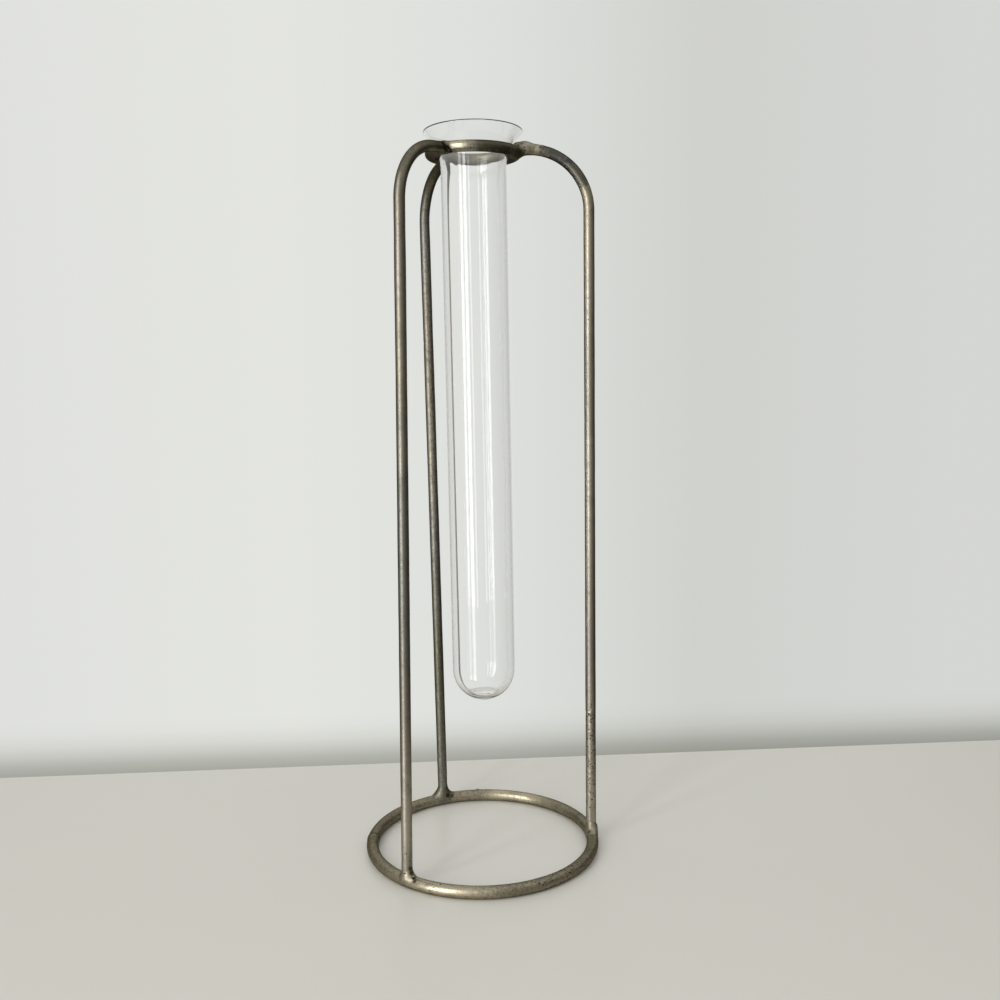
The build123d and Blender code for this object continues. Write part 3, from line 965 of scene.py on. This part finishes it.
def floor_finish():
    """The table's tone in front of its back edge and the wall's tone behind, with painted shade at the
    wall's foot and a painted soft shadow of the vase.
    """
    made, tree = new_material("pale_floor")
    where = add(tree, "ShaderNodeTexCoord").outputs["Object"]
    parts = add(tree, "ShaderNodeSeparateXYZ", {0: where}).outputs
    beyond = maths(tree, "MULTIPLY_ADD", parts["X"], -TABLE_EDGE_SLOPE, parts["Y"])
    wall = maths(tree, "GREATER_THAN", beyond, TABLE_EDGE * MM)
    table = add(tree, "ShaderNodeBsdfPrincipled", {
        "Base Color": (*TABLE_TONE, 1.0), "Roughness": TABLE_ROUGHNESS, "IOR": TABLE_IOR,
    })
    fanned = vector_maths(tree, "SUBTRACT", {0: where, 1: tuple(v * MM for v in WALL_FAN)})
    depth = maths(tree, "SUBTRACT", beyond, TABLE_EDGE * MM)
    # Painted shade at the wall's foot
    foot = ramp(tree, maths(tree, "DIVIDE", depth, WALL_FOOT_SHADE_DEPTH * MM, clamp=True), WALL_FOOT_SHADE_TONES)
    tone = vector_maths(tree, "MULTIPLY", {0: wall_tone_with_shadow(tree, fanned), 1: foot})
    plain = add(tree, "ShaderNodeBsdfDiffuse", {"Color": tone})
    glow = add(tree, "ShaderNodeEmission", {"Color": tone, "Strength": 1.0})
    behind = either(tree, shows_background(tree), plain, glow)
    both = either(tree, wall, table, behind)
    flat = vector_maths(tree, "LENGTH", {0: where}, "Value")
    mirrored = add(tree, "ShaderNodeLightPath").outputs["Is Glossy Ray"]
    open_share = maths(tree, "MULTIPLY", mirrored, ranged(tree, flat, TABLE_MIRRORED, TABLE_OPEN))
    clear = add(tree, "ShaderNodeBsdfTransparent")
    whole = either(tree, open_share, both, clear)
    add(tree, "ShaderNodeOutputMaterial", {"Surface": whole.outputs[0]})
    return made


def make_floor():
    """The pale floor, just under the part."""
    mesh = bpy.data.meshes.new("floor")
    corners = [(-1, -1), (1, -1), (1, 1), (-1, 1)]
    mesh.from_pydata([(x * FLOOR_REACH, y * FLOOR_REACH, -FLOOR_DROP * MM) for x, y in corners],
                     [], [(0, 1, 2, 3)])
    mesh.materials.append(floor_finish())
    floor = bpy.data.objects.new("floor", mesh)
    bpy.context.scene.collection.objects.link(floor)
    floor.visible_shadow = False


# Towards the windows, and the tones of the room from away from them to towards them
WINDOW_SIDE = (-0.45, -0.89, 0.0)
ROOM_TONES = [
    (0.0, (0.060, 0.056, 0.046)), (0.35, (0.10, 0.092, 0.074)), (0.65, (0.22, 0.205, 0.168)),
    (0.80, (0.39, 0.37, 0.32)), (0.90, (0.56, 0.54, 0.48)), (1.0, (0.68, 0.66, 0.60)),
]
CEILING_TONE = (0.90, 0.90, 0.88)
CEILING_START, CEILING_FULL = 0.15, 0.85
FAR_WALL_TONE = (0.70, 0.70, 0.67)
FAR_WALL_START, FAR_WALL_FULL = 0.80, 0.94


def make_world():
    """A pale background, and a room that is bright overhead, by the windows and at the far wall."""
    world = bpy.data.worlds.new("studio")
    bpy.context.scene.world = world
    world.use_nodes = True
    tree = world.node_tree
    tree.nodes.clear()
    where = add(tree, "ShaderNodeTexCoord").outputs["Generated"]
    parts = add(tree, "ShaderNodeSeparateXYZ", {0: where}).outputs
    facing = vector_maths(tree, "DOT_PRODUCT", {0: where, 1: WINDOW_SIDE}, "Value")
    room = ramp(tree, maths(tree, "ADD", maths(tree, "MULTIPLY", facing, 0.5), 0.5), ROOM_TONES)
    room = mixed(tree, ranged(tree, parts["Z"], CEILING_START, CEILING_FULL), room, CEILING_TONE)
    room = mixed(tree, ranged(tree, parts["Y"], FAR_WALL_START, FAR_WALL_FULL), room, FAR_WALL_TONE)
    shade = add(tree, "ShaderNodeBackground", {"Color": room, "Strength": 1.0})
    # The plain background carries the wall's tones with their painted soft shadow of the vase
    plain = add(tree, "ShaderNodeBackground", {"Color": wall_tone_with_shadow(tree, where), "Strength": 1.0})
    both = either(tree, shows_background(tree), shade, plain)
    add(tree, "ShaderNodeOutputWorld", {"Surface": both.outputs[0]})


# The windows' place and light: name, azimuth in degrees from the camera's side to its left,
# lower and upper height, width, all in metres, and radiance
WINDOW_DISTANCE = 1.2
WINDOWS = [
    ("window_far", 49.0, -0.20, 1.20, 0.17, 5.4),
    ("window_middle", 34.5, -0.20, 1.20, 0.23, 5.6),
    ("window_near", 18.5, -0.20, 1.20, 0.105, 2.2),
    ("window_far_foot", 49.0, -0.33, -0.20, 0.17, 2.4),
    ("window_middle_foot", 34.5, -0.33, -0.20, 0.23, 2.6),
    ("table_shine_far", 49.0, -0.65, -0.33, 0.17, 4.8),
    ("table_shine_middle", 34.5, -0.65, -0.33, 0.23, 4.8),
]


def make_lights():
    """Three tall windows at the left in front, weaker at their feet, and their shine on the table."""
    for name, azimuth, low, high, width, radiance in WINDOWS:
        height = high - low
        lamp = bpy.data.lights.new(name, "AREA")
        lamp.shape = "RECTANGLE"
        lamp.size, lamp.size_y = width, height
        lamp.energy = radiance * math.pi * width * height
        holder = bpy.data.objects.new(name, lamp)
        bpy.context.scene.collection.objects.link(holder)
        away = -level(90 - azimuth)
        side = np.cross(UP, away)
        turn = Matrix(np.stack([side, UP, away], 1).tolist()).to_4x4()
        place = WINDOW_DISTANCE * away + (low + high) / 2 * UP
        holder.matrix_world = Matrix.Translation(place) @ turn


def make_camera():
    """The camera at the photograph's place."""
    lens = bpy.data.cameras.new("camera")
    lens.sensor_width = CAMERA_SENSOR
    lens.lens = CAMERA_LENS
    lens.clip_start, lens.clip_end = 0.01, 100.0
    camera = bpy.data.objects.new("camera", lens)
    bpy.context.scene.collection.objects.link(camera)
    place = Matrix.Translation([value * MM for value in CAMERA_PLACE])
    yaw = Matrix.Rotation(math.radians(-CAMERA_YAW), 4, "Z")
    pitch = Matrix.Rotation(math.radians(90 - CAMERA_PITCH), 4, "X")
    roll = Matrix.Rotation(math.radians(CAMERA_ROLL), 4, "Z")
    camera.matrix_world = place @ yaw @ pitch @ roll
    bpy.context.scene.camera = camera


make_rings()
make_legs()
make_brazes()
make_tube()
make_floor()
make_world()
make_lights()
make_camera()
bpy.context.scene.view_settings.view_transform = "Standard"
